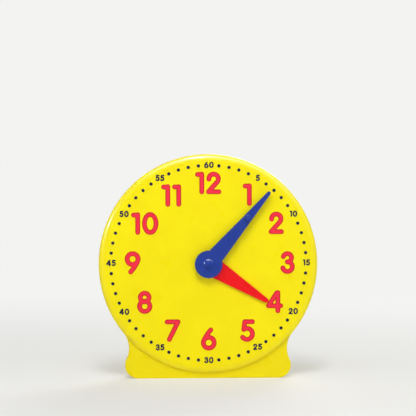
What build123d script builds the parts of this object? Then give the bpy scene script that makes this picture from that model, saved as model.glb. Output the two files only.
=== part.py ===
from build123d import *
import math
import os

# Millimetres. The clock stands upright on the plane Z = 0 and its dial faces -Y.
# A height, such as dial_face, is measured forwards along -Y from the middle of the foot's depth.

# Body, seen from the front
dial_diameter = 336.6
dial_lift = 8.5  # from the table to the dial's lower edge
toe_radius = 20.0
toe_spacing = 215.8  # between the centres of the two round toes
waist_radius = 38.8

# Body, front to back
foot_depth = 25.5
dial_step = 6.5  # how far the dial stands proud of the foot panel
dial_edge_width = 11.5  # the dial's edge falls away in a quarter of an ellipse
dial_edge_share = 0.92  # of the dial's step that its edge takes up
foot_edge_radius = 1.0
rear_edge_radius = 2.0
seam_chamfer = 0.4  # on both halves of the case, where they meet
wall = 2.5
rear_cover_depth = 9.5
lip_height = 2.5
lip_thickness = 1.2
lip_clearance = 0.2

# Printed numbers and dots
ink_thickness = 0.15
print_right = 0.4  # the middle of the printing, seen from the hub's
print_up = 1.4
hour_number_height = 34.4
hour_number_stroke = 7.5
hour_number_gap = 2.8
hour_ring_gap = 31.3  # from the ring of dots inwards to the ring of hours
hour_ring_right = 2.5  # the ring of hours is printed a little to the right and up
hour_ring_up = 1.0
hour_nudge = 0.1
hour_nudges = {  # each hour is set by eye, so many nudges to the right and up from its place on the ring
    1: (-26, 13), 2: (-14, 12), 3: (3, -5), 4: (-38, -14), 5: (-20, -25), 6: (-23, 8),
    7: (15, -19), 8: (22, -15), 9: (-3, -3), 10: (24, 6), 11: (-6, 0), 12: (-32, 32),
}
minute_number_height = 9.6
minute_number_stroke = 2.3
minute_number_gap = 0.8
dial_border = 18.3  # from the dial's edge inwards to the ring of dots
minute_number_right = 0.4
minute_number_up = 0.6
minute_dot_diameter = 5.1

# Hands, clockwise from twelve
hour_hand_angle = 122.3
hour_hand_short = 10.1  # its tip stops this far inside the ring of hours
hour_hand_tip_radius = 3.5
hour_hand_root_radius = 16.0
hour_hand_thickness = 2.5
minute_hand_angle = 40.3
minute_hand_short = 4.5  # its tip stops this far inside the ring of dots
minute_hand_tip_radius = 2.7
minute_hand_root_radius = 13.8
minute_blade_thickness = 3.5
hand_edge_chamfer = 0.4
hub_diameter = 42.0
hub_thickness = 5.5
hub_floor_thickness = 2.5
dial_to_hour_hand = 1.5
hour_hand_to_hub = 1.0

# Domed cap on the hub and grip on the blade
cap_diameter = 17.4
cap_height = 3.5
cap_edge = 0.7
cap_spigot_diameter = 11.9
cap_spigot_depth = 1.1
knob_diameter = 10.7
knob_height = 5.0
knob_from_tip = 52.7
knob_edge_radius = 2.2
knob_stem_diameter = 4.0

# Gear train: the minute pinion drives the compound gear, which drives the hour wheel twelve times slower
pinion_teeth = 12
compound_wheel_teeth = 36
compound_pinion_teeth = 12
hour_wheel_teeth = 48
first_module = 1.5
pressure_angle = 20.0
addendum_factor = 0.75
dedendum_factor = 1.0
backlash = 0.16
gear_width = 3.0
pinion_length = 5.8
gear_gap = 2.0  # between the faces of the hour wheel and the compound wheel
web_recess = 0.9
hub_wall = 3.0  # between a bore and the web recess of its wheel
rim_width = 3.0
pinion_land = 1.0  # flat left round the small pinion

# Shafts, bush and washers
arbor_diameter = 6.0
arbor_seat_diameter = 5.0
arbor_seat_flat = 2.0  # from the axis to the flat
pinion_seat_flat = 2.5
arbor_collar_diameter = 9.0
arbor_collar_thickness = 0.8
arbor_tail = 1.0  # behind the clip
pipe_diameter = 10.0
pipe_seat_diameter = 9.0
pipe_seat_flat = 4.0
bush_diameter = 14.0
bush_flange_diameter = 20.0
bush_flange_thickness = 1.0
bush_stands_proud = 0.5
hour_washer_diameter = 16.0
hour_washer_thickness = 0.8
friction_washer_diameter = 12.0
friction_washer_thickness = 0.9
clip_diameter = 10.0
clip_thickness = 0.8
clip_groove_diameter = 4.6
clip_mouth = 3.4
post_diameter = 4.0
post_head_diameter = 7.0
post_head_thickness = 1.0
post_boss_diameter = 9.0
post_boss_height = 1.0
post_socket_depth = 2.0

# Gear plate on its four pillars
gear_plate_thickness = 2.5
gear_plate_border = 6.0  # from a pillar's axis to the plate's edge
pillar_diameter = 8.0
pillar_clearance = 3.3  # from the hour wheel's teeth to a pillar
pillar_above_post = 16.0
pillar_below_arbor = 10.0

# Screws
plate_screw_diameter = 3.0
plate_screw_head_diameter = 5.6
plate_screw_head_height = 2.0
plate_screw_length = 8.0
cover_screw_diameter = 3.5
cover_screw_head_diameter = 6.6
cover_screw_head_height = 2.4
cover_screw_length = 14.0
cover_screw_sink = 4.5  # depth of the counterbore
cover_boss_diameter = 9.0
cover_sleeve_diameter = 10.4
cover_boss_inset = 14.2  # from the dial's edge to a boss's axis
cover_boss_angles = (0, 45, 90, 135, 180, 225, 315)
toe_boss_inset = 4.0  # from a toe's centre towards the middle
hand_screw_diameter = 3.0
hand_screw_head_diameter = 7.0
hand_screw_head_height = 1.8
hand_screw_length = 7.0
hand_screw_hole_spare = 1.0
cross_slot_length = 3.6
cross_slot_width = 0.8
cross_slot_depth = 1.0

# Fold-out stand wing in the back
wing_reach = 85.0
wing_height = 118.0
wing_thickness = 5.0
wing_top_width = 22.0
wing_tip_height = 12.0
wing_foot_length = 15.0
wing_foot_ramp = 4.0
wing_lift = 3.0  # the lower edge's height above the table, next to the foot
wing_heel_height = 8.5
wing_corner_radius = 6.0
wing_border = 5.0
wing_panel_recess = 1.4
wing_clearance = 0.5
pocket_clearance = 1.2
pocket_wall = 2.0
finger_notch_radius = 12.0
hinge_pin_diameter = 3.0
hinge_column_width = 11.0
hinge_column_cap = 7.0
hinge_pin_inset = 1.0

# Fits, on the radius or across a flat
running_clearance = 0.05
seat_clearance = 0.03
screw_hole_clearance = 0.2
axial_clearance = 0.2
close_enough = 0.01  # sizes nearer than this count as equal

# Numbers are strokes with round ends. Points are in halves of the number's height between stroke
# centres. An arc is its centre, radius, start angle and turn.
straight_strokes = {
    "1": [((-0.24, 0.97), (0.24, 0.97)), ((0.24, 1.0), (0.24, -1.0))],
    "2": [((0.40, 0.11), (-0.59, -1.0)), ((-0.59, -1.0), (0.59, -1.0))],
    "4": [((0.39, 1.03), (0.39, -1.04)), ((0.27, 1.02), (-0.69, -0.47)), ((-0.69, -0.47), (0.715, -0.47))],
    "5": [((-0.28, 1.03), (0.59, 1.03)), ((-0.28, 1.03), (-0.387, 0.143))],
    "7": [((-0.63, 1.0), (0.61, 1.0)), ((0.61, 1.0), (-0.387, -1.0))],
}
round_strokes = {
    "2": [((0.0, 0.47), 0.54, -42, 225)],
    "3": [((-0.04, 0.55), 0.475, -90, 255), ((-0.02, -0.47), 0.555, 90, -255)],
    "5": [((-0.02, -0.37), 0.63, 125.5, -268.5)],
    "6": [((0.0, -0.423), 0.62, 0, 360), ((3.906, -2.244), 4.93, 155, -16.7)],
    "8": [((0.0, 0.54), 0.497, 0, 360), ((0.0, -0.46), 0.59, 0, 360)],
}
zero_half_width = 0.657
zero_half_height = 1.025

# Radii and reaches that follow from the sizes above
dial_radius = dial_diameter / 2
dial_centre_height = dial_radius + dial_lift
minute_ring_radius = dial_radius - dial_border
hour_ring_radius = minute_ring_radius - hour_ring_gap
minute_hand_reach = minute_ring_radius - minute_hand_short
hour_hand_reach = hour_ring_radius - hour_hand_short
knob_distance = minute_hand_reach - knob_from_tip
hub_radius = hub_diameter / 2
arbor_radius = arbor_diameter / 2
pipe_radius = pipe_diameter / 2
pipe_seat_radius = pipe_seat_diameter / 2
bush_radius = bush_diameter / 2
post_radius = post_diameter / 2
barrel_radius = wing_thickness / 2

# Heights of the case's faces
foot_front = foot_depth / 2
case_back = -foot_depth / 2
dial_face = foot_front + dial_step
dial_inner = dial_face - wall
dial_edge_depth = dial_edge_share * dial_step
foot_inner = foot_front - wall
seam = case_back + rear_cover_depth
cover_inner = case_back + wall

# Heights of the gear train, from the dial backwards
bush_back = dial_inner - bush_flange_thickness
washer_back = bush_back - hour_washer_thickness
hour_wheel_front = washer_back - axial_clearance
hour_wheel_back = hour_wheel_front - gear_width
collar_front = hour_wheel_back - axial_clearance
collar_back = collar_front - arbor_collar_thickness
pinion_back = collar_back - pinion_length
plate_front = pinion_back - axial_clearance
plate_back = plate_front - gear_plate_thickness
compound_front = dial_inner - post_boss_height - axial_clearance
compound_wheel_front = hour_wheel_back - gear_gap
compound_wheel_back = compound_wheel_front - gear_width
compound_back = plate_front + axial_clearance
clip_front = plate_back - friction_washer_thickness
clip_back = clip_front - clip_thickness
arbor_back = clip_back - arbor_tail

# Heights of the hands, from the dial forwards
bush_front = dial_face + bush_stands_proud
hour_hand_back = dial_face + dial_to_hour_hand
hour_hand_front = hour_hand_back + hour_hand_thickness
hub_back = hour_hand_front + hour_hand_to_hub
hub_front = hub_back + hub_thickness
hub_floor = hub_back + hub_floor_thickness
blade_front = hub_front
blade_back = blade_front - minute_blade_thickness
arbor_front = hub_floor - axial_clearance

# Gear centres. The second pair's module follows from the first pair's centre distance.
gear_distance = first_module * (pinion_teeth + compound_wheel_teeth) / 2
second_module = 2 * gear_distance / (compound_pinion_teeth + hour_wheel_teeth)
hour_wheel_tip_radius = second_module * (hour_wheel_teeth / 2 + addendum_factor)
pillar_x = hour_wheel_tip_radius + pillar_clearance + pillar_diameter / 2
plate_top = gear_distance + pillar_above_post
plate_middle = (plate_top - pillar_below_arbor) / 2

# The wing turns about a vertical axis in the middle of its thickness, sunk below the case's back
hinge_y = foot_depth / 2 - wing_clearance - barrel_radius
pocket_floor = case_back + wing_thickness + 2 * wing_clearance
pocket_top = wing_height + wing_clearance
hinge_pin_top = pocket_top + hinge_column_cap - hinge_pin_inset


def dial_plane(height, turn=0.0):
    """Plane across the dial's axis, with its Y turned clockwise from twelve."""
    angle = math.radians(turn)
    across = (math.cos(angle), 0, -math.sin(angle))
    return Plane(origin=(0, -height, dial_centre_height), x_dir=across, z_dir=(0, -1, 0))


def turning_plane(x, z):
    """Plane whose X is the radius and whose Y is the height on an axis along the clock's depth."""
    return Plane(origin=(x, 0, z), x_dir=(1, 0, 0), z_dir=(0, 0, -1))


def turning_axis(x, z):
    return Axis((x, 0, z), (0, -1, 0))


def ring_point(radius, angle, right=0.0, up=0.0):
    """Point on a ring, clockwise from twelve."""
    turn = math.radians(angle)
    return (right + radius * math.sin(turn), up + radius * math.cos(turn))


def print_point(radius, angle, right=0.0, up=0.0):
    """Point on a ring of the dial's printing."""
    return ring_point(radius, angle, print_right + right, print_up + up)


def heading(start, end):
    return math.degrees(math.atan2(end.Y - start.Y, end.X - start.X))


def right_meeting_point(first, first_radius, second, second_radius):
    """The meeting point of two circles that lies to the left when looking from second to first."""
    between = second - first
    along = (first_radius**2 - second_radius**2 + between.length**2) / (2 * between.length)
    aside = math.sqrt(first_radius**2 - along**2)
    unit = between.normalized()
    return first + unit * along + Vector(-unit.Y, unit.X) * aside


def body_outline(inset):
    """The case seen from the front: dial, waists and toes, with the whole edge moved in by inset."""
    dial = Vector(0, dial_centre_height)
    toe = Vector(toe_spacing / 2, toe_radius)
    waist = right_meeting_point(dial, dial_radius + waist_radius, toe, toe_radius + waist_radius)
    toe_turn = 90 + heading(toe, waist)
    waist_turn = heading(waist, dial) - heading(toe, waist) - 180
    dial_turn = 90 - heading(dial, waist)
    with BuildSketch() as outline:
        with BuildLine():
            Line((0, inset), (toe.X, inset))
            CenterArc(toe, toe_radius - inset, -90, toe_turn)
            CenterArc(waist, waist_radius + inset, heading(toe, waist) + 180, waist_turn)
            CenterArc(dial, dial_radius - inset, heading(dial, waist), dial_turn)
            mirror(about=Plane.YZ)
        make_face()
    return outline.sketch


def dial_boss_points():
    radius = dial_radius - cover_boss_inset
    return [ring_point(radius, angle) for angle in [90 - turn for turn in cover_boss_angles]]


def toe_boss_points():
    x = toe_spacing / 2 - toe_boss_inset
    return [(-x, toe_radius), (x, toe_radius)]


def plate_grid():
    """The four pillars, about the arbor's axis."""
    return [(x, z) for x in (-pillar_x, pillar_x) for z in (-pillar_below_arbor, plate_top)]


def flatted_circle(radius, flat):
    """Round section with one flat, for a seat that can't turn."""
    with BuildSketch() as section:
        Circle(radius)
        with Locations((flat + radius, 0)):
            Rectangle(2 * radius, 2 * radius, mode=Mode.SUBTRACT)
    return section.sketch


def circle_edges(part, radius, height):
    """The part's circular edges of one radius that lie at one height."""
    circles = part.edges().filter_by(GeomType.CIRCLE)
    return circles.filter_by(
        lambda edge: abs(edge.radius - radius) < close_enough
        and abs(edge.bounding_box().min.Y + height) < close_enough
    )


def round_stroke(centre, radius, start, turn, stroke):
    """An arc of the pen with round ends."""
    side = math.copysign(180, turn)
    begin = centre + Vector(radius, 0).rotate(Axis.Z, start)
    end = centre + Vector(radius, 0).rotate(Axis.Z, start + turn)
    with BuildSketch() as face:
        with BuildLine():
            CenterArc(centre, radius + stroke / 2, start, turn)
            CenterArc(end, stroke / 2, start + turn, side)
            CenterArc(centre, radius - stroke / 2, start, turn)
            CenterArc(begin, stroke / 2, start + 180, side)
        make_face()
    return face.sketch


def digit_face(digit, height, stroke):
    """One digit about its middle. A nine is a six turned upside down."""
    half = (height - stroke) / 2
    with BuildSketch() as face:
        if digit == "0":
            across = zero_half_width * half
            upright = zero_half_height * half
            Ellipse(across + stroke / 2, upright + stroke / 2)
            Ellipse(across - stroke / 2, upright - stroke / 2, mode=Mode.SUBTRACT)
        elif digit == "9":
            add(digit_face("6", height, stroke), rotation=180)
        else:
            for start, end in straight_strokes.get(digit, []):
                middle = ((start[0] + end[0]) * half / 2, (start[1] + end[1]) * half / 2)
                SlotCenterPoint(middle, (end[0] * half, end[1] * half), stroke)
            for centre, radius, start, turn in round_strokes.get(digit, []):
                for first in (start, start + turn / 2):
                    add(round_stroke(Vector(centre) * half, radius * half, first, turn / 2, stroke))
    return face.sketch


def number_face(number, height, stroke, gap):
    """A whole number, centred on its box."""
    digits = [digit_face(digit, height, stroke) for digit in str(number)]
    boxes = [digit.bounding_box() for digit in digits]
    left = -(sum(box.size.X for box in boxes) + gap * (len(boxes) - 1)) / 2
    with BuildSketch() as face:
        for digit, box in zip(digits, boxes):
            with Locations((left - box.min.X, 0)):
                add(digit)
            left += box.size.X + gap
    return face.sketch


def tooth_half_angle(teeth, module, radius):
    """Half the angle that a tooth covers at one radius."""
    pitch_radius = module * teeth / 2
    base_radius = pitch_radius * math.cos(math.radians(pressure_angle))
    at_pitch = (math.pi * module - backlash) / (4 * pitch_radius)
    flank = math.acos(min(1.0, base_radius / radius))
    return at_pitch + involute(math.radians(pressure_angle)) - involute(flank)


def involute(angle):
    return math.tan(angle) - angle


def polar(radius, angle):
    return (radius * math.cos(angle), radius * math.sin(angle))


def gear_face(teeth, module, tooth_angle):
    """A spur gear of stub involute teeth, with one tooth at tooth_angle from the sketch's X."""
    tip = module * (teeth / 2 + addendum_factor)
    root = module * (teeth / 2 - dedendum_factor)
    base = module * teeth / 2 * math.cos(math.radians(pressure_angle))
    start = max(root, base)
    middle = (start + tip) / 2
    at_start = tooth_half_angle(teeth, module, start)
    at_middle = tooth_half_angle(teeth, module, middle)
    at_tip = tooth_half_angle(teeth, module, tip)
    pitch = 2 * math.pi / teeth
    with BuildSketch() as face:
        with BuildLine():
            for tooth in range(teeth):
                axis = math.radians(tooth_angle) + tooth * pitch
                if root < start:
                    Line(polar(root, axis - at_start), polar(start, axis - at_start))
                    Line(polar(start, axis + at_start), polar(root, axis + at_start))
                ThreePointArc(
                    polar(start, axis - at_start),
                    polar(middle, axis - at_middle),
                    polar(tip, axis - at_tip),
                )
                ThreePointArc(polar(tip, axis - at_tip), polar(tip, axis), polar(tip, axis + at_tip))
                ThreePointArc(
                    polar(tip, axis + at_tip),
                    polar(middle, axis + at_middle),
                    polar(start, axis + at_start),
                )
                ThreePointArc(
                    polar(root, axis + at_start),
                    polar(root, axis + pitch / 2),
                    polar(root, axis + pitch - at_start),
                )
        make_face()
    return face.sketch


def hand_outline(root_radius, tip_radius, reach):
    """A tapered hand along the sketch's Y."""
    with BuildSketch() as outline:
        Circle(root_radius)
        with Locations((0, reach - tip_radius)):
            Circle(tip_radius)
        make_hull()
    return outline.sketch


def cross_slot():
    """The two crossed slots in a screw's head."""
    with BuildSketch() as slot:
        Rectangle(cross_slot_length, cross_slot_width)
        Rectangle(cross_slot_width, cross_slot_length)
    return slot.sketch


def dial_section(inset):
    """Half section of the dial's disc, drawn this far inside its outer faces."""
    radius = dial_radius - inset
    front = dial_face - inset
    edge_width = dial_edge_width - inset
    edge_depth = dial_edge_depth - inset
    edge_inner = radius - edge_width
    edge_back = front - edge_depth
    with BuildSketch() as section:
        with BuildLine():
            Polyline((radius, edge_back), (radius, seam), (0, seam), (0, front), (edge_inner, front))
            EllipticalCenterArc((edge_inner, edge_back), edge_width, edge_depth)
        make_face()
    return section.sketch


def make_front_shell():
    outer = body_outline(0)
    inner = body_outline(wall)
    outer_disc = dial_section(0)
    inner_disc = dial_section(wall)
    with BuildPart() as front_shell:
        with BuildSketch(Plane.XZ.offset(seam)):
            add(outer)
        extrude(amount=foot_front - seam)
        foot_edges = front_shell.faces().sort_by(Axis.Y)[0].edges()
        fillet(foot_edges, foot_edge_radius)
        with BuildSketch(turning_plane(0, dial_centre_height)):
            add(outer_disc)
        revolve(axis=turning_axis(0, dial_centre_height))
        chamfer(front_shell.faces().sort_by(Axis.Y)[-1].edges(), seam_chamfer)

        # The hollow, open at the back, with the same wall all round
        with BuildSketch(Plane.XZ.offset(seam)):
            add(inner)
        extrude(amount=foot_inner - seam, mode=Mode.SUBTRACT)
        with BuildSketch(turning_plane(0, dial_centre_height)):
            add(inner_disc)
        revolve(axis=turning_axis(0, dial_centre_height), mode=Mode.SUBTRACT)

        # Bosses for the cover screws
        with BuildSketch(dial_plane(seam)):
            with Locations(*dial_boss_points()):
                Circle(cover_boss_diameter / 2)
        extrude(amount=dial_inner - seam)
        with BuildSketch(Plane.XZ.offset(seam)):
            with Locations(*toe_boss_points()):
                Circle(cover_boss_diameter / 2)
        extrude(amount=foot_inner - seam)
        with BuildSketch(dial_plane(seam)):
            with Locations(*dial_boss_points()):
                Circle(cover_screw_diameter / 2 + seat_clearance)
        extrude(amount=cover_screw_length - cover_boss_floor() + axial_clearance, mode=Mode.SUBTRACT)
        with BuildSketch(Plane.XZ.offset(seam)):
            with Locations(*toe_boss_points()):
                Circle(cover_screw_diameter / 2 + seat_clearance)
        extrude(amount=cover_screw_length - cover_boss_floor() + axial_clearance, mode=Mode.SUBTRACT)

        # Pillars for the gear plate
        with BuildSketch(dial_plane(plate_front)):
            with Locations(*plate_grid()):
                Circle(pillar_diameter / 2)
        extrude(amount=dial_inner - plate_front)
        with BuildSketch(dial_plane(plate_front)):
            with Locations(*plate_grid()):
                Circle(plate_screw_diameter / 2 + seat_clearance)
        extrude(
            amount=plate_screw_length - gear_plate_thickness + axial_clearance, mode=Mode.SUBTRACT
        )

        # Socket for the gear post and the bush's hole
        with BuildSketch(dial_plane(dial_inner - post_boss_height)):
            with Locations((0, gear_distance)):
                Circle(post_boss_diameter / 2)
        extrude(amount=post_boss_height)
        with BuildSketch(dial_plane(dial_inner - post_boss_height)):
            with Locations((0, gear_distance)):
                Circle(post_radius + seat_clearance)
        extrude(amount=post_socket_depth, mode=Mode.SUBTRACT)
        with BuildSketch(dial_plane(dial_inner)):
            Circle(bush_radius + seat_clearance)
        extrude(amount=wall, mode=Mode.SUBTRACT)
    front_shell.part.label = "front_shell"
    return front_shell.part


def cover_boss_floor():
    """Thickness of the cover's sleeve that a cover screw clamps."""
    return rear_cover_depth - cover_screw_sink


def wing_outline():
    """The stand wing, flat, with its hinge axis along the sketch's Y."""
    foot_start = wing_reach - wing_foot_length
    with BuildSketch() as outline:
        with BuildLine():
            Polyline(
                (0, wing_heel_height),
                (foot_start - wing_foot_ramp, wing_lift),
                (foot_start, 0),
                (wing_reach, 0),
                (wing_reach, wing_tip_height),
                (wing_top_width, wing_height),
                (0, wing_height),
                close=True,
            )
        make_face()
        outer_corners = outline.vertices().filter_by(
            lambda corner: corner.X > wing_top_width - close_enough
            and corner.Y > wing_tip_height - close_enough
        )
        fillet(outer_corners, wing_corner_radius)
    return outline.sketch


def pocket_outline(grow):
    """The recess that the folded wing lies in, with its finger notch, grown by grow."""
    wing = wing_outline()
    notch_x = (wing_reach + wing_top_width) / 2
    notch_z = (wing_tip_height + wing_height) / 2
    left = -barrel_radius - wing_clearance - grow
    bottom = wing_heel_height - wing_clearance - grow
    with BuildSketch() as outline:
        add(wing)
        offset(amount=pocket_clearance + grow)
        with Locations((notch_x, notch_z)):
            Circle(finger_notch_radius + grow)
        with BuildSketch(mode=Mode.INTERSECT):
            with Locations((left, -wing_height)):
                Rectangle(2 * wing_reach, 3 * wing_height, align=(Align.MIN, Align.MIN))
        with Locations((left, bottom)):
            Rectangle(barrel_radius - left, pocket_top + grow - bottom, align=(Align.MIN, Align.MIN))
        with Locations((left, pocket_top + grow)):
            Rectangle(2 * wing_reach, wing_height, align=(Align.MIN, Align.MIN), mode=Mode.SUBTRACT)
        with Locations((left, bottom)):
            Rectangle(
                2 * barrel_radius - left, wing_height, align=(Align.MIN, Align.MAX), mode=Mode.SUBTRACT
            )
    return outline.sketch


def make_rear_cover():
    outer = body_outline(0)
    inner = body_outline(wall)
    lip_outer = body_outline(wall + lip_clearance)
    lip_inner = body_outline(wall + lip_clearance + lip_thickness)
    pocket = pocket_outline(0)
    housing = pocket_outline(pocket_wall)
    rear_face = Plane(origin=(0, foot_depth / 2, 0), x_dir=(-1, 0, 0), z_dir=(0, 1, 0))
    hole_radius = cover_screw_diameter / 2 + screw_hole_clearance
    sink_radius = cover_screw_head_diameter / 2 + screw_hole_clearance
    with BuildPart() as rear_cover:
        with BuildSketch(Plane.XZ.offset(case_back)):
            add(outer)
        extrude(amount=rear_cover_depth)
        rear_edges = rear_cover.faces().sort_by(Axis.Y)[-1].edges()
        fillet(rear_edges, rear_edge_radius)
        chamfer(rear_cover.faces().sort_by(Axis.Y)[0].edges(), seam_chamfer)
        with BuildSketch(Plane.XZ.offset(cover_inner)):
            add(inner)
        extrude(amount=seam - cover_inner, mode=Mode.SUBTRACT)

        # Lip that keeps the two halves in line
        with BuildSketch(Plane.XZ.offset(cover_inner)):
            add(lip_outer)
            add(lip_inner, mode=Mode.SUBTRACT)
        extrude(amount=seam - cover_inner + lip_height)

        # Sleeves for the cover screws
        with BuildSketch(dial_plane(cover_inner)):
            with Locations(*dial_boss_points()):
                Circle(cover_sleeve_diameter / 2)
        extrude(amount=seam - cover_inner)
        with BuildSketch(Plane.XZ.offset(cover_inner)):
            with Locations(*toe_boss_points()):
                Circle(cover_sleeve_diameter / 2)
        extrude(amount=seam - cover_inner)

        # Recess for the stand wing, with the column that holds its hinge pin
        with BuildSketch(Plane.XZ.offset(case_back)):
            add(housing)
            Rectangle(
                hinge_column_width, pocket_top + hinge_column_cap, align=(Align.CENTER, Align.MIN)
            )
            add(inner, mode=Mode.INTERSECT)
        extrude(amount=pocket_floor + pocket_wall - case_back)
        with BuildSketch(Plane.XZ.offset(case_back)):
            add(pocket)
        extrude(amount=pocket_floor - case_back, mode=Mode.SUBTRACT)
        with BuildSketch(Plane.XY):
            with Locations((0, hinge_y)):
                Circle(hinge_pin_diameter / 2 + seat_clearance)
        extrude(amount=hinge_pin_top + axial_clearance, mode=Mode.SUBTRACT)

        with Locations(rear_face):
            with Locations(*toe_boss_points()):
                CounterBoreHole(hole_radius, sink_radius, cover_screw_sink)
            with Locations(*[(-x, dial_centre_height + z) for x, z in dial_boss_points()]):
                CounterBoreHole(hole_radius, sink_radius, cover_screw_sink)
    rear_cover.part.label = "rear_cover"
    return rear_cover.part


def make_hour_numerals():
    faces = [
        number_face(hour, hour_number_height, hour_number_stroke, hour_number_gap)
        for hour in range(1, 13)
    ]
    with BuildPart() as hour_numerals:
        with BuildSketch(dial_plane(dial_face)):
            for hour, face in enumerate(faces, start=1):
                right = hour_ring_right + hour_nudges[hour][0] * hour_nudge
                up = hour_ring_up + hour_nudges[hour][1] * hour_nudge
                with Locations(print_point(hour_ring_radius, 30 * hour, right, up)):
                    add(face)
        extrude(amount=ink_thickness)
    hour_numerals.part.label = "hour_numerals"
    return hour_numerals.part


def make_minute_numerals():
    numbers = range(5, 65, 5)
    faces = [
        number_face(number, minute_number_height, minute_number_stroke, minute_number_gap)
        for number in numbers
    ]
    with BuildPart() as minute_numerals:
        with BuildSketch(dial_plane(dial_face)):
            for number, face in zip(numbers, faces):
                place = print_point(minute_ring_radius, 6 * number, minute_number_right, minute_number_up)
                with Locations(place):
                    add(face)
        extrude(amount=ink_thickness)
    minute_numerals.part.label = "minute_numerals"
    return minute_numerals.part


def make_minute_dots():
    points = [print_point(minute_ring_radius, 6 * minute) for minute in range(60) if minute % 5]
    with BuildPart() as minute_dots:
        with BuildSketch(dial_plane(dial_face)):
            with Locations(*points):
                Circle(minute_dot_diameter / 2)
        extrude(amount=ink_thickness)
    minute_dots.part.label = "minute_dots"
    return minute_dots.part


def make_hour_hand():
    outline = hand_outline(hour_hand_root_radius, hour_hand_tip_radius, hour_hand_reach)
    seat = flatted_circle(pipe_seat_radius + seat_clearance, pipe_seat_flat + seat_clearance)
    with BuildPart() as hour_hand:
        with BuildSketch(dial_plane(hour_hand_back, hour_hand_angle)):
            add(outline)
        extrude(amount=hour_hand_thickness)
        chamfer(hour_hand.faces().sort_by(Axis.Y)[0].edges(), hand_edge_chamfer)
        with BuildSketch(dial_plane(hour_hand_back, hour_hand_angle)):
            add(seat)
        extrude(amount=hour_hand_thickness, mode=Mode.SUBTRACT)
    hour_hand.part.label = "hour_hand"
    return hour_hand.part


def make_minute_hand():
    outline = hand_outline(minute_hand_root_radius, minute_hand_tip_radius, minute_hand_reach)
    seat = flatted_circle(arbor_seat_diameter / 2 + seat_clearance, arbor_seat_flat + seat_clearance)
    with BuildPart() as minute_hand:
        with BuildSketch(dial_plane(blade_back, minute_hand_angle)):
            add(outline)
        extrude(amount=minute_blade_thickness)
        with BuildSketch(dial_plane(hub_back)):
            Circle(hub_radius)
        extrude(amount=hub_thickness)
        chamfer(minute_hand.faces().sort_by(Axis.Y)[0].edges(), hand_edge_chamfer)
        with BuildSketch(dial_plane(hub_back, minute_hand_angle)):
            add(seat)
        extrude(amount=hub_floor_thickness, mode=Mode.SUBTRACT)
        with BuildSketch(dial_plane(hub_floor)):
            Circle(cap_spigot_diameter / 2 + seat_clearance)
        extrude(amount=hub_front - hub_floor, mode=Mode.SUBTRACT)
        with BuildSketch(dial_plane(blade_back, minute_hand_angle)):
            with Locations((0, knob_distance)):
                Circle(knob_stem_diameter / 2 + seat_clearance)
        extrude(amount=minute_blade_thickness, mode=Mode.SUBTRACT)
    minute_hand.part.label = "minute_hand"
    return minute_hand.part


def make_hub_cap():
    radius = cap_diameter / 2
    rise = cap_height - cap_edge
    dome = (radius**2 + rise**2) / (2 * rise)
    half = math.asin(radius / dome) / 2
    shoulder = (dome * math.sin(half), hub_front + cap_height - dome + dome * math.cos(half))
    with BuildPart() as hub_cap:
        with BuildSketch(turning_plane(0, dial_centre_height)):
            with BuildLine():
                Polyline(
                    (0, hub_front + cap_height),
                    (0, hub_front - cap_spigot_depth),
                    (cap_spigot_diameter / 2, hub_front - cap_spigot_depth),
                    (cap_spigot_diameter / 2, hub_front),
                    (radius, hub_front),
                    (radius, hub_front + cap_edge),
                )
                ThreePointArc((radius, hub_front + cap_edge), shoulder, (0, hub_front + cap_height))
            make_face()
        revolve(axis=turning_axis(0, dial_centre_height))
    hub_cap.part.label = "hub_cap"
    return hub_cap.part


def make_finger_knob():
    x, up = ring_point(knob_distance, minute_hand_angle)
    z = dial_centre_height + up
    radius = knob_diameter / 2
    top = blade_front + knob_height
    with BuildPart() as finger_knob:
        with BuildSketch(turning_plane(x, z)):
            with BuildLine():
                Polyline(
                    (0, top),
                    (0, blade_back),
                    (knob_stem_diameter / 2, blade_back),
                    (knob_stem_diameter / 2, blade_front),
                    (radius, blade_front),
                    (radius, top),
                    close=True,
                )
            make_face()
        revolve(axis=turning_axis(x, z))
        fillet(circle_edges(finger_knob, radius, top), knob_edge_radius)
    finger_knob.part.label = "finger_knob"
    return finger_knob.part


def make_minute_arbor():
    plane = turning_plane(0, dial_centre_height)
    with BuildPart() as minute_arbor:
        with BuildSketch(plane):
            with BuildLine():
                Polyline(
                    (0, arbor_back),
                    (arbor_radius, arbor_back),
                    (arbor_radius, clip_back - running_clearance),
                    (clip_groove_diameter / 2, clip_back - running_clearance),
                    (clip_groove_diameter / 2, clip_front),
                    (arbor_radius, clip_front),
                    (arbor_radius, collar_back),
                    (arbor_collar_diameter / 2, collar_back),
                    (arbor_collar_diameter / 2, collar_front),
                    (arbor_radius, collar_front),
                    (arbor_radius, hub_back),
                    (arbor_seat_diameter / 2, hub_back),
                    (arbor_seat_diameter / 2, arbor_front),
                    (0, arbor_front),
                    close=True,
                )
            make_face()
        revolve(axis=turning_axis(0, dial_centre_height))

        # Flats that drive the hand at the front and the pinion at the back
        with BuildSketch(dial_plane(hub_back, minute_hand_angle)):
            with Locations((arbor_seat_flat + arbor_radius, 0)):
                Rectangle(arbor_diameter, arbor_diameter)
        extrude(amount=arbor_front - hub_back, mode=Mode.SUBTRACT)
        with BuildSketch(dial_plane(pinion_back)):
            with Locations((pinion_seat_flat + arbor_radius, 0)):
                Rectangle(arbor_diameter, arbor_diameter)
        extrude(amount=collar_back - pinion_back, mode=Mode.SUBTRACT)
        with BuildSketch(dial_plane(arbor_front)):
            Circle(hand_screw_diameter / 2 + seat_clearance)
        extrude(amount=-(hand_screw_length + hand_screw_hole_spare), mode=Mode.SUBTRACT)
    minute_arbor.part.label = "minute_arbor"
    return minute_arbor.part


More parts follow.
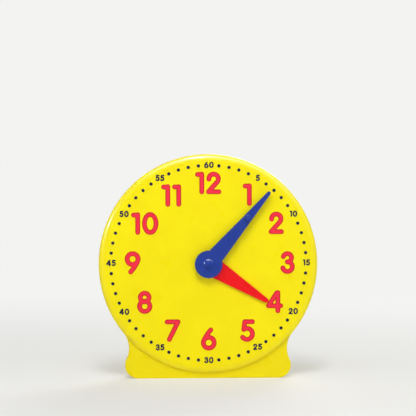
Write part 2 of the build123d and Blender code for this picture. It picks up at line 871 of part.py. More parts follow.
def make_minute_pinion():
    gear = gear_face(pinion_teeth, first_module, 90)
    seat = flatted_circle(arbor_radius + seat_clearance, pinion_seat_flat + seat_clearance)
    with BuildPart() as minute_pinion:
        with BuildSketch(dial_plane(pinion_back)):
            add(gear)
            add(seat, mode=Mode.SUBTRACT)
        extrude(amount=pinion_length)
    minute_pinion.part.label = "minute_pinion"
    return minute_pinion.part


def make_compound_gear():
    half_pitch = 180 / compound_wheel_teeth
    wheel = gear_face(compound_wheel_teeth, first_module, 270 + half_pitch)
    pinion = gear_face(compound_pinion_teeth, second_module, 270)
    pinion_root = second_module * (compound_pinion_teeth / 2 - dedendum_factor)
    rim_inner = first_module * (compound_wheel_teeth / 2 - dedendum_factor) - rim_width
    with BuildPart() as compound_gear:
        with BuildSketch(dial_plane(compound_back)):
            with Locations((0, gear_distance)):
                Circle(pinion_root)
        extrude(amount=compound_wheel_back - compound_back)
        with BuildSketch(dial_plane(compound_wheel_back)):
            with Locations((0, gear_distance)):
                add(wheel)
        extrude(amount=gear_width)
        with BuildSketch(dial_plane(compound_wheel_front)):
            with Locations((0, gear_distance)):
                add(pinion)
        extrude(amount=compound_front - compound_wheel_front)
        with BuildSketch(dial_plane(compound_wheel_back)):
            with Locations((0, gear_distance)):
                Circle(rim_inner)
                Circle(pinion_root + pinion_land, mode=Mode.SUBTRACT)
        extrude(amount=web_recess, mode=Mode.SUBTRACT)
        with BuildSketch(dial_plane(compound_back)):
            with Locations((0, gear_distance)):
                Circle(post_radius + running_clearance)
        extrude(amount=compound_front - compound_back, mode=Mode.SUBTRACT)
    compound_gear.part.label = "compound_gear"
    return compound_gear.part


def make_hour_wheel():
    gear = gear_face(hour_wheel_teeth, second_module, 90 + 180 / hour_wheel_teeth)
    seat = flatted_circle(pipe_seat_radius, pipe_seat_flat)
    rim_inner = second_module * (hour_wheel_teeth / 2 - dedendum_factor) - rim_width
    with BuildPart() as hour_wheel:
        with BuildSketch(dial_plane(hour_wheel_back)):
            add(gear)
        extrude(amount=gear_width)
        with BuildSketch(dial_plane(hour_wheel_front)):
            Circle(pipe_radius)
        extrude(amount=hour_hand_back - hour_wheel_front)
        with BuildSketch(dial_plane(hour_hand_back, hour_hand_angle)):
            add(seat)
        extrude(amount=hour_hand_thickness)
        for face_height, depth in ((hour_wheel_back, web_recess), (hour_wheel_front, -web_recess)):
            with BuildSketch(dial_plane(face_height)):
                Circle(rim_inner)
                Circle(hour_washer_diameter / 2 + hub_wall, mode=Mode.SUBTRACT)
            extrude(amount=depth, mode=Mode.SUBTRACT)
        with BuildSketch(dial_plane(hour_wheel_back)):
            Circle(arbor_radius + running_clearance)
        extrude(amount=hour_hand_front - hour_wheel_back, mode=Mode.SUBTRACT)
    hour_wheel.part.label = "hour_wheel"
    return hour_wheel.part


def make_dial_bush():
    with BuildPart() as dial_bush:
        with BuildSketch(dial_plane(bush_back)):
            Circle(bush_flange_diameter / 2)
        extrude(amount=bush_flange_thickness)
        with BuildSketch(dial_plane(dial_inner)):
            Circle(bush_radius)
        extrude(amount=bush_front - dial_inner)
        with BuildSketch(dial_plane(bush_back)):
            Circle(pipe_radius + running_clearance)
        extrude(amount=bush_front - bush_back, mode=Mode.SUBTRACT)
    dial_bush.part.label = "dial_bush"
    return dial_bush.part


def make_hour_washer():
    with BuildPart() as hour_washer:
        with BuildSketch(dial_plane(washer_back)):
            Circle(hour_washer_diameter / 2)
            Circle(pipe_radius + running_clearance, mode=Mode.SUBTRACT)
        extrude(amount=hour_washer_thickness)
    hour_washer.part.label = "hour_washer"
    return hour_washer.part


def make_friction_washer():
    with BuildPart() as friction_washer:
        with BuildSketch(dial_plane(clip_front)):
            Circle(friction_washer_diameter / 2)
            Circle(arbor_radius + running_clearance, mode=Mode.SUBTRACT)
        extrude(amount=friction_washer_thickness)
    friction_washer.part.label = "friction_washer"
    return friction_washer.part


def make_arbor_clip():
    """Open ring that snaps sideways into the arbor's groove."""
    with BuildPart() as arbor_clip:
        with BuildSketch(dial_plane(clip_back)):
            Circle(clip_diameter / 2)
            Circle(clip_groove_diameter / 2 + seat_clearance, mode=Mode.SUBTRACT)
            Rectangle(clip_mouth, clip_diameter, align=(Align.CENTER, Align.MAX), mode=Mode.SUBTRACT)
        extrude(amount=clip_thickness)
    arbor_clip.part.label = "arbor_clip"
    return arbor_clip.part


def make_wheel_post():
    z = dial_centre_height + gear_distance
    tip = dial_inner - post_boss_height + post_socket_depth - axial_clearance
    with BuildPart() as wheel_post:
        with BuildSketch(turning_plane(0, z)):
            with BuildLine():
                Polyline(
                    (0, plate_back - post_head_thickness),
                    (post_head_diameter / 2, plate_back - post_head_thickness),
                    (post_head_diameter / 2, plate_back),
                    (post_radius, plate_back),
                    (post_radius, tip),
                    (0, tip),
                    close=True,
                )
            make_face()
        revolve(axis=turning_axis(0, z))
    wheel_post.part.label = "wheel_post"
    return wheel_post.part


def make_gear_plate():
    with BuildPart() as gear_plate:
        with BuildSketch(dial_plane(plate_back)):
            with Locations((0, plate_middle)):
                RectangleRounded(
                    2 * (pillar_x + gear_plate_border),
                    plate_top + pillar_below_arbor + 2 * gear_plate_border,
                    gear_plate_border,
                )
            Circle(arbor_radius + running_clearance, mode=Mode.SUBTRACT)
            with Locations((0, gear_distance)):
                Circle(post_radius + seat_clearance, mode=Mode.SUBTRACT)
            with Locations(*plate_grid()):
                Circle(plate_screw_diameter / 2 + screw_hole_clearance, mode=Mode.SUBTRACT)
        extrude(amount=gear_plate_thickness)
    gear_plate.part.label = "gear_plate"
    return gear_plate.part


def make_gear_plate_screws():
    with BuildPart() as screws:
        with BuildSketch(dial_plane(plate_back)):
            with Locations(*plate_grid()):
                Circle(plate_screw_head_diameter / 2)
        extrude(amount=-plate_screw_head_height)
        with BuildSketch(dial_plane(plate_back)):
            with Locations(*plate_grid()):
                Circle(plate_screw_diameter / 2)
        extrude(amount=plate_screw_length)
        with BuildSketch(dial_plane(plate_back - plate_screw_head_height)):
            with Locations(*plate_grid()):
                add(cross_slot())
        extrude(amount=cross_slot_depth, mode=Mode.SUBTRACT)
    screws.part.label = "gear_plate_screws"
    return screws.part


def make_cover_screws():
    head_face = case_back + cover_screw_sink
    points = toe_boss_points() + [(x, dial_centre_height + z) for x, z in dial_boss_points()]
    with BuildPart() as screws:
        with BuildSketch(Plane.XZ.offset(head_face)):
            with Locations(*points):
                Circle(cover_screw_head_diameter / 2)
        extrude(amount=-cover_screw_head_height)
        with BuildSketch(Plane.XZ.offset(head_face)):
            with Locations(*points):
                Circle(cover_screw_diameter / 2)
        extrude(amount=cover_screw_length)
        with BuildSketch(Plane.XZ.offset(head_face - cover_screw_head_height)):
            with Locations(*points):
                add(cross_slot())
        extrude(amount=cross_slot_depth, mode=Mode.SUBTRACT)
    screws.part.label = "cover_screws"
    return screws.part


def make_hand_screw():
    with BuildPart() as hand_screw:
        with BuildSketch(dial_plane(hub_floor)):
            Circle(hand_screw_head_diameter / 2)
        extrude(amount=hand_screw_head_height)
        with BuildSketch(dial_plane(hub_floor)):
            Circle(hand_screw_diameter / 2)
        extrude(amount=-hand_screw_length)
        with BuildSketch(dial_plane(hub_floor + hand_screw_head_height)):
            add(cross_slot())
        extrude(amount=-cross_slot_depth, mode=Mode.SUBTRACT)
    hand_screw.part.label = "hand_screw"
    return hand_screw.part


def make_stand_wing():
    outline = wing_outline()
    with BuildSketch() as panel:
        add(outline)
        offset(amount=-wing_border)
    wing_plane = Plane(origin=(0, hinge_y, 0), x_dir=(0, 1, 0), z_dir=(1, 0, 0))
    with BuildPart() as stand_wing:
        with BuildSketch(wing_plane):
            add(outline)
        extrude(amount=wing_thickness / 2, both=True)
        with BuildSketch(Plane.XY.offset(wing_heel_height)):
            with Locations((0, hinge_y)):
                Circle(barrel_radius)
        extrude(amount=wing_height - wing_heel_height)
        for side in (-1, 1):
            with BuildSketch(wing_plane.offset(side * wing_thickness / 2)):
                add(panel.sketch)
            extrude(amount=-side * wing_panel_recess, mode=Mode.SUBTRACT)
        with BuildSketch(Plane.XY):
            with Locations((0, hinge_y)):
                Circle(hinge_pin_diameter / 2 + running_clearance)
        extrude(amount=wing_height, mode=Mode.SUBTRACT)
    stand_wing.part.label = "stand_wing"
    return stand_wing.part


def make_hinge_pin():
    with BuildPart() as hinge_pin:
        with BuildSketch(Plane.XY.offset(hinge_pin_inset)):
            with Locations((0, hinge_y)):
                Circle(hinge_pin_diameter / 2)
        extrude(amount=hinge_pin_top - hinge_pin_inset)
    hinge_pin.part.label = "hinge_pin"
    return hinge_pin.part


pieces = [
    make_front_shell(),
    make_rear_cover(),
    make_hour_numerals(),
    make_minute_numerals(),
    make_minute_dots(),
    make_hour_hand(),
    make_minute_hand(),
    make_hub_cap(),
    make_finger_knob(),
    make_minute_arbor(),
    make_minute_pinion(),
    make_compound_gear(),
    make_hour_wheel(),
    make_dial_bush(),
    make_hour_washer(),
    make_friction_washer(),
    make_arbor_clip(),
    make_wheel_post(),
    make_gear_plate(),
    make_gear_plate_screws(),
    make_cover_screws(),
    make_hand_screw(),
    make_stand_wing(),
    make_hinge_pin(),
]

os.makedirs("parts", exist_ok=True)
for piece in pieces:
    export_step(piece, f"parts/{piece.label}.step")
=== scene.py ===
import math

import bmesh
import bpy
from mathutils import Matrix, Vector


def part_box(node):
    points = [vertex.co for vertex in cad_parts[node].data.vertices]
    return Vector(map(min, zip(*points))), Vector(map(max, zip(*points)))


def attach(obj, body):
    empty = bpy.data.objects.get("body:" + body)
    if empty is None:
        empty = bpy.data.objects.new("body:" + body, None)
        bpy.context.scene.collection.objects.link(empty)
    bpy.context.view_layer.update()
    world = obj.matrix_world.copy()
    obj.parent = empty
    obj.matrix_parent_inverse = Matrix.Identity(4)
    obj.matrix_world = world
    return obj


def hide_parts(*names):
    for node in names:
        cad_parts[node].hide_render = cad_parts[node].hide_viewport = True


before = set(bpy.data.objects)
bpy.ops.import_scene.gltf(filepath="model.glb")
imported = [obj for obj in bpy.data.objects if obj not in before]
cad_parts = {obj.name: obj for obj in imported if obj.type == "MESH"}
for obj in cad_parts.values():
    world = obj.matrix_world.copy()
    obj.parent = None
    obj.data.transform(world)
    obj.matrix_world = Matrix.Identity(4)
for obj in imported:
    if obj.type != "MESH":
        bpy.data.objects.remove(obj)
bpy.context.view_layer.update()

# Metres, in the clock's own frame: Z up, the dial looks along -Y


def linearColour(code):
    # sRGB hex to the linear values that the nodes take
    parts = [int(code[i:i + 2], 16) / 255 for i in (1, 3, 5)]
    return [p / 12.92 if p <= 0.04045 else ((p + 0.055) / 1.055) ** 2.4 for p in parts] + [1.0]


def perMetre(millimetres):
    # texture scale for a pattern of this real size
    return 1000 / millimetres


def addNode(tree, kind, settings=None, links=None):
    # a key of settings is a socket's name or number, or else a property of the node
    node = tree.nodes.new(kind)
    for key, value in (settings or {}).items():
        if isinstance(key, int) or key in node.inputs:
            node.inputs[key].default_value = value
        else:
            setattr(node, key, value)
    for key, source in (links or {}).items():
        tree.links.new(source, node.inputs[key])
    return node


def startMaterial(name):
    # an empty tree, and the object's own coordinates for its patterns
    material = bpy.data.materials.new(name)
    material.use_nodes = True
    tree = material.node_tree
    tree.nodes.clear()
    place = addNode(tree, "ShaderNodeTexCoord").outputs["Object"]
    return material, tree, place


def addObject(name, data):
    thing = bpy.data.objects.new(name, data)
    bpy.context.scene.collection.objects.link(thing)
    return thing


# Moulded high-impact polystyrene: solid pigment with faint flow clouds, a satin skin with hairline
# scratches from handling, and the orange peel of a polished tool. The real peel is about 0.4 mm and
# the hairlines are finer, so both are drawn coarser to show. The flat dial is satin for the printing.
# From there backwards the rim is polished, and the panel round the dial is coloured a little darker, a
# painted shade for the light that falls less on it. A window is the part of the noise that takes the finish
# from one end to the other, and a back depth is how far behind the dial's face a finish or the painted shade
# sets in.
yellowStyrene = {
    "name": "mouldedStyreneYellow",
    "colour": "#FBEA00",
    "cloud": "#F8E500",
    "cloudMm": 55,
    "cloudWindow": (0.35, 0.65),
    "peelMm": 1.6,
    "peelDepthMm": 0.010,
    "roughness": (0.26, 0.36),
    "glossMm": 24,
    "glossWindow": (0.3, 0.7),
    "scratchMm": 0.9,
    "scratchStretch": (1.0, 1.0, 0.025),
    "scratchSlant": (0.2, 0.7, 0.3),
    "scratchWindow": (0.66, 0.72),
    "scratchRoughness": 0.06,
    "ior": 1.55,
    "specular": 0.15,
    "edgeMm": 0.35,
    "edgeSamples": 6,
    "subsurface": 0.0,
    "subsurfaceMm": 2.0,
    "rimBackMm": (0.03, 0.5),
    "rimPolish": 0.4,
    "rimRoughness": 0.16,
    # painted shade: the panel behind the dial's step takes this darker colour
    "panelShadeBackMm": (6.1, 6.4),
    "panelShadeColour": "#F3DF04",
}
# The other plastics differ in pigment and gloss, and none has the case's polished rim
blueAbs = dict(
    yellowStyrene, name="mouldedAbsBlue", colour="#1C3B9A", cloud="#1A3793", cloudMm=22,
    roughness=(0.18, 0.26), specular=0.20, edgeMm=0.25, rimBackMm=None,
)
# The cap and the knob come from a polished mould
polishedAbs = dict(
    blueAbs, name="mouldedAbsBluePolished", colour="#1A3A9B", cloud="#183693", roughness=(0.06, 0.10),
    specular=0.22, peelDepthMm=0.002,
)
redAbs = dict(
    yellowStyrene, name="mouldedAbsRed", colour="#F3121B", cloud="#EC1018", cloudMm=30,
    roughness=(0.24, 0.34), specular=0.12, edgeMm=0.25, rimBackMm=None,
)
# Natural acetal is unpigmented, milky and waxy
naturalAcetal = dict(
    yellowStyrene, name="mouldedAcetalNatural", colour="#ECEAE2", cloud="#E3E1D8", cloudMm=18,
    roughness=(0.42, 0.55), specular=0.45, edgeMm=0.15, subsurface=0.15, rimBackMm=None,
)
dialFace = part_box("front_shell")[0].y


def mouldedPlastic(look):
    material, tree, place = startMaterial(look["name"])
    cloud = addNode(tree, "ShaderNodeTexNoise", {"Scale": perMetre(look["cloudMm"]), "Detail": 3.0},
                    {"Vector": place})
    cloudShare = addNode(tree, "ShaderNodeMapRange",
                         {"From Min": look["cloudWindow"][0], "From Max": look["cloudWindow"][1]},
                         {"Value": cloud.outputs[0]})
    pigment = addNode(tree, "ShaderNodeMix",
                      {"data_type": "RGBA", 6: linearColour(look["colour"]), 7: linearColour(look["cloud"])},
                      {0: cloudShare.outputs[0]})

    # gloss differs a little over the skin, and hairlines run across it at a slant
    gloss = addNode(tree, "ShaderNodeTexNoise", {"Scale": perMetre(look["glossMm"]), "Detail": 4.0},
                    {"Vector": place})
    skin = addNode(tree, "ShaderNodeMapRange",
                   {"From Min": look["glossWindow"][0], "From Max": look["glossWindow"][1],
                    "To Min": look["roughness"][0], "To Max": look["roughness"][1]},
                   {"Value": gloss.outputs[0]})
    slant = addNode(tree, "ShaderNodeMapping",
                    {"Rotation": look["scratchSlant"], "Scale": look["scratchStretch"]},
                    {"Vector": place})
    hairline = addNode(tree, "ShaderNodeTexNoise", {"Scale": perMetre(look["scratchMm"]), "Detail": 1.0},
                       {"Vector": slant.outputs[0]})
    scratch = addNode(tree, "ShaderNodeMapRange",
                      {"From Min": look["scratchWindow"][0], "From Max": look["scratchWindow"][1],
                       "To Max": look["scratchRoughness"]},
                      {"Value": hairline.outputs[0]})
    roughness = addNode(tree, "ShaderNodeMath", {"operation": "ADD"},
                        {0: skin.outputs[0], 1: scratch.outputs[0]})

    peel = addNode(tree, "ShaderNodeTexNoise", {"Scale": perMetre(look["peelMm"]), "Detail": 2.0},
                   {"Vector": place})
    softEdge = addNode(tree, "ShaderNodeBevel",
                       {"samples": look["edgeSamples"], "Radius": look["edgeMm"] / 1000})
    relief = addNode(tree, "ShaderNodeBump", {"Strength": 1.0, "Distance": look["peelDepthMm"] / 1000},
                     {"Height": peel.outputs[0], "Normal": softEdge.outputs[0]})
    settings = {"IOR": look["ior"], "Specular IOR Level": look["specular"],
                "Subsurface Weight": look["subsurface"], "Subsurface Scale": look["subsurfaceMm"] / 1000}
    links = {"Base Color": pigment.outputs[2], "Roughness": roughness.outputs[0],
             "Normal": relief.outputs[0]}
    if look["rimBackMm"]:
        # both shares go from 0 to 1 with depth, so their difference is the rim between them
        depth = addNode(tree, "ShaderNodeSeparateXYZ", None, {0: place}).outputs[1]
        behindFace, behindRim = [
            addNode(tree, "ShaderNodeMapRange",
                    {"interpolation_type": "SMOOTHSTEP",
                     "From Min": dialFace + near / 1000, "From Max": dialFace + far / 1000},
                    {"Value": depth}).outputs[0]
            for near, far in (look["rimBackMm"], look["panelShadeBackMm"])
        ]
        # painted shade: behind the rim the pigment gives way to the panel's darker colour
        shadedPanel = addNode(tree, "ShaderNodeMix", {"data_type": "RGBA", 7: linearColour(look["panelShadeColour"])},
                          {0: behindRim, 6: pigment.outputs[2]})
        rim = addNode(tree, "ShaderNodeMath", {"operation": "SUBTRACT"}, {0: behindFace, 1: behindRim})
        polish = addNode(tree, "ShaderNodeMath", {"operation": "MULTIPLY", 1: look["rimPolish"]},
                         {0: rim.outputs[0]})
        links["Base Color"] = shadedPanel.outputs[2]
        links["Coat Weight"] = polish.outputs[0]
        settings["Coat Roughness"] = look["rimRoughness"]
    shader = addNode(tree, "ShaderNodeBsdfPrincipled", settings, links)
    addNode(tree, "ShaderNodeOutputMaterial", None, {"Surface": shader.outputs[0]})
    return material


# Screen-printed vinyl ink on styrene: flat and a little duller than the plastic. Every stroke of the hour
# numbers has a darker rim round a lighter core, and each has its own colour.
redInkCore = {
    "name": "printedInkRed",
    "colour": "#F42C47",
    "thin": "#F73A52",
    "thinWindow": (0.45, 0.75),
    "filmMm": 2.2,
    "filmDepthMm": 0.006,
    "roughness": (0.38, 0.50),
    "sheenWindow": (0.3, 0.7),
    "ior": 1.5,
    "specular": 0.12,
}
redInkRim = dict(redInkCore, name="printedInkRedRim", colour="#C62520", thin="#CC2C26")
navyInk = dict(redInkCore, name="printedInkNavy", colour="#060A38", thin="#0A0F42", filmMm=1.2)


def printedInk(look):
    material, tree, place = startMaterial(look["name"])
    film = addNode(tree, "ShaderNodeTexNoise", {"Scale": perMetre(look["filmMm"]), "Detail": 3.0},
                   {"Vector": place})
    thinness = addNode(tree, "ShaderNodeMapRange",
                       {"From Min": look["thinWindow"][0], "From Max": look["thinWindow"][1]},
                       {"Value": film.outputs[0]})
    colour = addNode(tree, "ShaderNodeMix",
                     {"data_type": "RGBA", 6: linearColour(look["colour"]), 7: linearColour(look["thin"])},
                     {0: thinness.outputs[0]})
    sheen = addNode(tree, "ShaderNodeMapRange",
                    {"From Min": look["sheenWindow"][0], "From Max": look["sheenWindow"][1],
                     "To Min": look["roughness"][0], "To Max": look["roughness"][1]},
                    {"Value": film.outputs[0]})
    relief = addNode(tree, "ShaderNodeBump", {"Strength": 1.0, "Distance": look["filmDepthMm"] / 1000},
                     {"Height": film.outputs[0]})
    shader = addNode(tree, "ShaderNodeBsdfPrincipled",
                     {"IOR": look["ior"], "Specular IOR Level": look["specular"]},
                     {"Base Color": colour.outputs[2], "Roughness": sheen.outputs[0],
                      "Normal": relief.outputs[0]})
    addNode(tree, "ShaderNodeOutputMaterial", None, {"Surface": shader.outputs[0]})
    return material


# Bright drawn steel: fine lines left by the die run along the wire and streak the highlight
drawnSteel = {
    "name": "drawnSteel",
    "colour": "#B8BABC",
    "dull": "#A3A5A8",
    "lineMm": 0.35,
    "lineStretch": (1.0, 0.04, 0.04),
    "lineDepthMm": 0.01,
    "lineRelief": 0.6,
    "roughness": (0.22, 0.36),
    "roughWindow": (0.3, 0.7),
}
# Zinc-plated screw steel: crystalline, faintly yellow passivation, more matt than the wire
zincPlate = dict(
    drawnSteel, name="zincPlatedSteel", colour="#C8C6C0", dull="#B7B3A6", lineMm=0.8,
    lineStretch=(1.0, 1.0, 1.0), roughness=(0.30, 0.46),
)


def bareMetal(look):
    material, tree, place = startMaterial(look["name"])
    along = addNode(tree, "ShaderNodeMapping", {"Scale": look["lineStretch"]}, {"Vector": place})
    lines = addNode(tree, "ShaderNodeTexNoise", {"Scale": perMetre(look["lineMm"]), "Detail": 4.0},
                    {"Vector": along.outputs[0]})
    colour = addNode(tree, "ShaderNodeMix",
                     {"data_type": "RGBA", 6: linearColour(look["colour"]), 7: linearColour(look["dull"])},
                     {0: lines.outputs[0]})
    roughness = addNode(tree, "ShaderNodeMapRange",
                        {"From Min": look["roughWindow"][0], "From Max": look["roughWindow"][1],
                         "To Min": look["roughness"][0], "To Max": look["roughness"][1]},
                        {"Value": lines.outputs[0]})
    relief = addNode(tree, "ShaderNodeBump",
                     {"Strength": look["lineRelief"], "Distance": look["lineDepthMm"] / 1000},
                     {"Height": lines.outputs[0]})
    shader = addNode(tree, "ShaderNodeBsdfPrincipled", {"Metallic": 1.0},
                     {"Base Color": colour.outputs[2], "Roughness": roughness.outputs[0],
                      "Normal": relief.outputs[0]})
    addNode(tree, "ShaderNodeOutputMaterial", None, {"Surface": shader.outputs[0]})
    return material


yellow = mouldedPlastic(yellowStyrene)
blue = mouldedPlastic(blueAbs)
polishedBlue = mouldedPlastic(polishedAbs)
red = mouldedPlastic(redAbs)
acetal = mouldedPlastic(naturalAcetal)
redCore = printedInk(redInkCore)
redRim = printedInk(redInkRim)
navy = printedInk(navyInk)
steel = bareMetal(drawnSteel)
zinc = bareMetal(zincPlate)

finishes = {
    yellow: ["front_shell", "rear_cover", "stand_wing"],
    blue: ["minute_hand"],
    polishedBlue: ["hub_cap", "finger_knob"],
    red: ["hour_hand"],
    navy: ["minute_numerals", "minute_dots"],
    redCore: ["hour_numerals"],
    acetal: ["minute_pinion", "compound_gear", "hour_wheel", "dial_bush", "hour_washer", "gear_plate"],
    steel: ["minute_arbor", "friction_washer", "arbor_clip", "wheel_post", "hinge_pin"],
    zinc: ["gear_plate_screws", "cover_screws", "hand_screw"],
}
for material, nodes in finishes.items():
    for node in nodes:
        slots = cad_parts[node].data.materials
        slots.clear()
        slots.append(material)
print("materials on", sum(len(nodes) for nodes in finishes.values()), "CAD nodes")


# Hour numbers: the imported solids with a darker rim round every stroke. A face belongs to the
# print's front where its normal's Y is below facingY.
hourPrint = {"rimMm": 1.5, "mergeMm": 0.001, "flatDegrees": 0.05, "facingY": -0.9}


def makeHourNumbers(look):
    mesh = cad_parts["hour_numerals"].data.copy()
    mesh.name = "hourNumbers"
    form = bmesh.new()
    form.from_mesh(mesh)
    bmesh.ops.remove_doubles(form, verts=form.verts, dist=look["mergeMm"] / 1000)
    bmesh.ops.dissolve_limit(
        form, angle_limit=math.radians(look["flatDegrees"]), verts=form.verts, edges=form.edges,
    )
    form.normal_update()
    front = [face for face in form.faces if face.normal.y < look["facingY"]]
    rim = bmesh.ops.inset_region(
        form, faces=front, thickness=look["rimMm"] / 1000, use_even_offset=True, use_boundary=True,
    )["faces"]
    core = set(front) - set(rim)
    for face in form.faces:
        face.material_index = 1 if face in core else 0
    # clearing the slots resets the faces' material numbers, so it comes before they are written
    mesh.materials.clear()
    mesh.materials.append(redRim)
    mesh.materials.append(redCore)
    form.to_mesh(mesh)
    form.free()
    return addObject("hourNumbers", mesh)


hourNumbers = makeHourNumbers(hourPrint)
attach(hourNumbers, "case")
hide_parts("hour_numerals")
print("hour numbers", len(hourNumbers.data.polygons), "faces")


# Minute dots: 60 places on a ring, where every fifth one belongs to a number
minuteDots = {"places": 60, "numberEvery": 5, "dotMm": 5.1, "edgeMm": 0.08, "sides": 24}
dotSockets = {
    "ring radius": "NodeSocketFloat",
    "dot radius": "NodeSocketFloat",
    "top radius": "NodeSocketFloat",
    "ink thickness": "NodeSocketFloat",
    "places": "NodeSocketInt",
    "number every": "NodeSocketInt",
    "sides": "NodeSocketInt",
    "ink": "NodeSocketMaterial",
}


def buildDotTree():
    tree = bpy.data.node_groups.new("minuteDotRing", "GeometryNodeTree")
    for name, kind in dotSockets.items():
        tree.interface.new_socket(name, in_out="INPUT", socket_type=kind)
    tree.interface.new_socket("dots", in_out="OUTPUT", socket_type="NodeSocketGeometry")
    given = addNode(tree, "NodeGroupInput").outputs
    ring = addNode(tree, "GeometryNodeMeshCircle", None,
                   {"Vertices": given["places"], "Radius": given["ring radius"]})
    dot = addNode(tree, "GeometryNodeMeshCone", None,
                  {"Vertices": given["sides"], "Radius Top": given["top radius"],
                   "Radius Bottom": given["dot radius"], "Depth": given["ink thickness"]})
    index = addNode(tree, "GeometryNodeInputIndex")
    turn = addNode(tree, "FunctionNodeIntegerMath", {"operation": "MODULO"},
                   {0: index.outputs[0], 1: given["number every"]})
    dotHere = addNode(tree, "FunctionNodeCompare", {"data_type": "INT", "operation": "NOT_EQUAL"},
                      {2: turn.outputs[0]})
    dots = addNode(tree, "GeometryNodeInstanceOnPoints", None,
                   {"Points": ring.outputs[0], "Selection": dotHere.outputs[0], "Instance": dot.outputs[0]})
    real = addNode(tree, "GeometryNodeRealizeInstances", None, {0: dots.outputs[0]})
    inked = addNode(tree, "GeometryNodeSetMaterial", None,
                    {"Geometry": real.outputs[0], "Material": given["ink"]})
    addNode(tree, "NodeGroupOutput", None, {0: inked.outputs[0]})
    return tree


def makeMinuteDots(look):
    low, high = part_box("minute_dots")
    radius = look["dotMm"] / 1000 / 2
    halfWidth = (high.x - low.x) / 2
    # the ring's widest dots stand one place away from the numbers at three and nine o'clock
    values = {
        "ring radius": (halfWidth - radius) / math.cos(2 * math.pi / look["places"]),
        "dot radius": radius,
        "top radius": radius - look["edgeMm"] / 1000,
        "ink thickness": high.y - low.y,
        "places": look["places"],
        "number every": look["numberEvery"],
        "sides": look["sides"],
        "ink": navy,
    }
    seed = addObject("minuteDotSeed", bpy.data.meshes.new("minuteDotSeed"))
    modifier = seed.modifiers.new("ring", "NODES")
    modifier.node_group = buildDotTree()
    for socket in modifier.node_group.interface.items_tree:
        if socket.in_out == "INPUT":
            modifier[socket.identifier] = values[socket.name]
    graph = bpy.context.evaluated_depsgraph_get()
    mesh = bpy.data.meshes.new_from_object(seed.evaluated_get(graph))
    bpy.data.objects.remove(seed)
    # the tree lays the ring flat, facing up: stand it up against the dial
    centre = (low + high) / 2
    mesh.transform(Matrix.Translation(centre) @ Matrix.Rotation(math.radians(90), 4, "X"))
    mesh.name = "minuteDots"
    return addObject("minuteDots", mesh)


dots = makeMinuteDots(minuteDots)
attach(dots, "case")
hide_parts("minute_dots")
print("minute dots", len(dots.data.polygons), "faces")


# Floor: pale and matt. Far from the clock it fades into the background's colour for the camera.
stageLook = {
    "floor": "#E9E9E7",
    "background": "#F3F3F1",
    "halfSize": 6.0,
    "fadeFrom": 0.1,
    "fadeTo": 1.6,
    "fadeNear": 0.3,
    "sky": "#FFFFFF",
    "skyStrength": 0.165,
}


def backgroundRay(tree):
    # 1 for what the camera sees, straight or in a mirror or glass, and 0 for light that lands on the clock
    path = addNode(tree, "ShaderNodeLightPath").outputs
    seen = addNode(tree, "ShaderNodeMath", {"operation": "ADD"},
                   {0: path["Is Camera Ray"], 1: path["Is Glossy Ray"]})
    return addNode(tree, "ShaderNodeMath", {"operation": "ADD", "use_clamp": True},
                   {0: seen.outputs[0], 1: path["Is Transmission Ray"]}).outputs[0]


def makeFloor(look):
    material, tree, place = startMaterial("paintedFloor")
    reach = addNode(tree, "ShaderNodeVectorMath", {"operation": "LENGTH"}, {0: place})
    fade = addNode(tree, "ShaderNodeMapRange",
                   {"interpolation_type": "SMOOTHSTEP", "From Min": look["fadeFrom"],
                    "From Max": look["fadeTo"], "To Min": look["fadeNear"]},
                   {"Value": reach.outputs["Value"]})
    seen = addNode(tree, "ShaderNodeMath", {"operation": "MULTIPLY"},
                   {0: fade.outputs[0], 1: backgroundRay(tree)})
    matt = addNode(tree, "ShaderNodeBsdfDiffuse", {"Color": linearColour(look["floor"])})
    glow = addNode(tree, "ShaderNodeEmission", {"Color": linearColour(look["background"]), "Strength": 1.0})
    both = addNode(tree, "ShaderNodeMixShader", None,
                   {0: seen.outputs[0], 1: matt.outputs[0], 2: glow.outputs[0]})
    addNode(tree, "ShaderNodeOutputMaterial", None, {"Surface": both.outputs[0]})
    size = look["halfSize"]
    corners = [(-size, -size, 0), (size, -size, 0), (size, size, 0), (-size, size, 0)]
    mesh = bpy.data.meshes.new("floor")
    mesh.from_pydata(corners, [], [(0, 1, 2, 3)])
    mesh.materials.append(material)
    addObject("floor", mesh)


def makeWorld(look):
    world = bpy.data.worlds.new("studio")
    world.use_nodes = True
    tree = world.node_tree
    tree.nodes.clear()
    light = addNode(tree, "ShaderNodeBackground",
                    {"Color": linearColour(look["sky"]), "Strength": look["skyStrength"]})
    shown = addNode(tree, "ShaderNodeBackground",
                    {"Color": linearColour(look["background"]), "Strength": 1.0})
    both = addNode(tree, "ShaderNodeMixShader", None,
                   {0: backgroundRay(tree), 1: light.outputs[0], 2: shown.outputs[0]})
    addNode(tree, "ShaderNodeOutputWorld", None, {"Surface": both.outputs[0]})
    bpy.context.scene.world = world


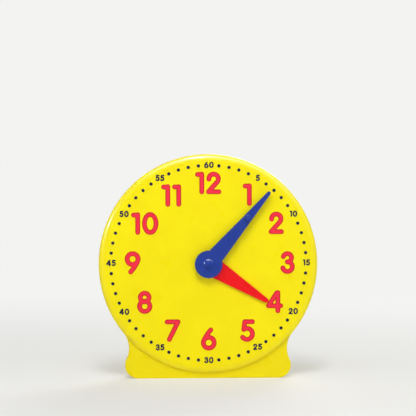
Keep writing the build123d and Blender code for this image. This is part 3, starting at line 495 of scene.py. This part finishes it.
# Lamps: a tall key straight above and in front, whose height softens the hands' shadows, with a small
# bright one in its middle for the spot on the hub's cap, a wide band that runs round the dial's rim, a
# very small one at the left, wide ones at the right and near the camera that leave no reflection on the
# dial, and one for the back. The last four only show as reflections: a wide cool gleam along the
# dial's upper rim with a weaker one at its right, and the two spots on the cap.
lamps = {
    "key": {"place": (-0.08, -1.32, 2.06), "size": (0.60, 1.30), "watts": 21.5, "rays": "both"},
    "spot": {"place": (-0.10, -1.25, 1.67), "size": (0.12, 0.12), "watts": 3.8, "rays": "both"},
    "band": {"place": (-0.50, -1.36, 1.93), "size": (2.8, 0.40), "watts": 8.0, "rays": "both"},
    "left": {"place": (-1.00, -0.79, 0.53), "size": (0.05, 0.05), "watts": 1.2, "rays": "both"},
    "right": {"place": (1.5, -1.7, 0.9), "size": (1.2, 1.2), "watts": 6.5, "rays": "matt"},
    "fill": {"place": (0.3, -3.2, 0.7), "size": (1.6, 1.6), "watts": 8.0, "rays": "matt"},
    "rear": {"place": (0.9, 2.2, 1.5), "size": (1.4, 1.4), "watts": 42.0, "rays": "both"},
    "gleam": {"place": (0.04, -1.32, 2.06), "size": (2.6, 1.2), "watts": 72.0, "rays": "gloss"},
    "rightGleam": {"place": (1.25, -1.10, 1.45), "size": (0.9, 0.9), "watts": 9.0, "rays": "gloss"},
    "glint": {"place": (-0.098, -1.225, 1.639), "size": (0.12, 0.12), "watts": 15.0, "rays": "gloss"},
    "leftGlint": {"place": (-0.977, -0.773, 0.522), "size": (0.05, 0.05), "watts": 7.0, "rays": "gloss"},
}
glossTint = "#DDF1FF"


def makeLamps(target):
    for name, look in lamps.items():
        data = bpy.data.lights.new(name, "AREA")
        data.energy = look["watts"]
        data.shape = "RECTANGLE"
        data.size, data.size_y = look["size"]
        if look["rays"] == "gloss":
            data.color = linearColour(glossTint)[:3]
        lamp = addObject(name, data)
        lamp.location = look["place"]
        lamp.rotation_euler = (target - lamp.location).to_track_quat("-Z", "Y").to_euler()
        lamp.visible_camera = False
        lamp.visible_diffuse = look["rays"] != "gloss"
        lamp.visible_glossy = look["rays"] != "matt"


# Camera: nearly square on to the dial, from a little above and to the left. It aims over the clock,
# which puts the dial's centre where the picture has it.
cameraLook = {
    "distance": 2.6,
    "azimuth": -2.5,
    "elevation": 4.0,
    "dialCentrePixel": (208.4, 264.0),
    "millimetresPerPixel": 1.535,
    "imagePixels": 416,
    "sensorMm": 36.0,
}


def makeCamera(look, target):
    data = bpy.data.cameras.new("camera")
    pixels = look["imagePixels"]
    focalPixels = look["distance"] * 1000 / look["millimetresPerPixel"]
    data.sensor_width = look["sensorMm"]
    data.lens = look["sensorMm"] * focalPixels / pixels
    tilt = math.radians(look["elevation"])
    swing = math.radians(look["azimuth"])
    back = Vector((math.sin(swing) * math.cos(tilt), -math.cos(swing) * math.cos(tilt), math.sin(tilt)))
    facing = (-back).to_track_quat("-Z", "Y")
    right = facing @ Vector((1, 0, 0))
    up = facing @ Vector((0, 1, 0))
    pixel = look["millimetresPerPixel"] / 1000
    aim = target + right * (pixels / 2 - look["dialCentrePixel"][0]) * pixel
    aim += up * (look["dialCentrePixel"][1] - pixels / 2) * pixel
    camera = addObject("camera", data)
    camera.location = target + back * look["distance"]
    camera.rotation_euler = (aim - camera.location).to_track_quat("-Z", "Y").to_euler()
    bpy.context.scene.camera = camera


hubLow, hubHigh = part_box("hub_cap")
dialCentre = (hubLow + hubHigh) / 2
dialCentre.y = dialFace
makeFloor(stageLook)
makeWorld(stageLook)
makeLamps(dialCentre)
makeCamera(cameraLook, dialCentre)
bpy.context.scene.view_settings.view_transform = "Standard"
print("stage, lamps and camera")
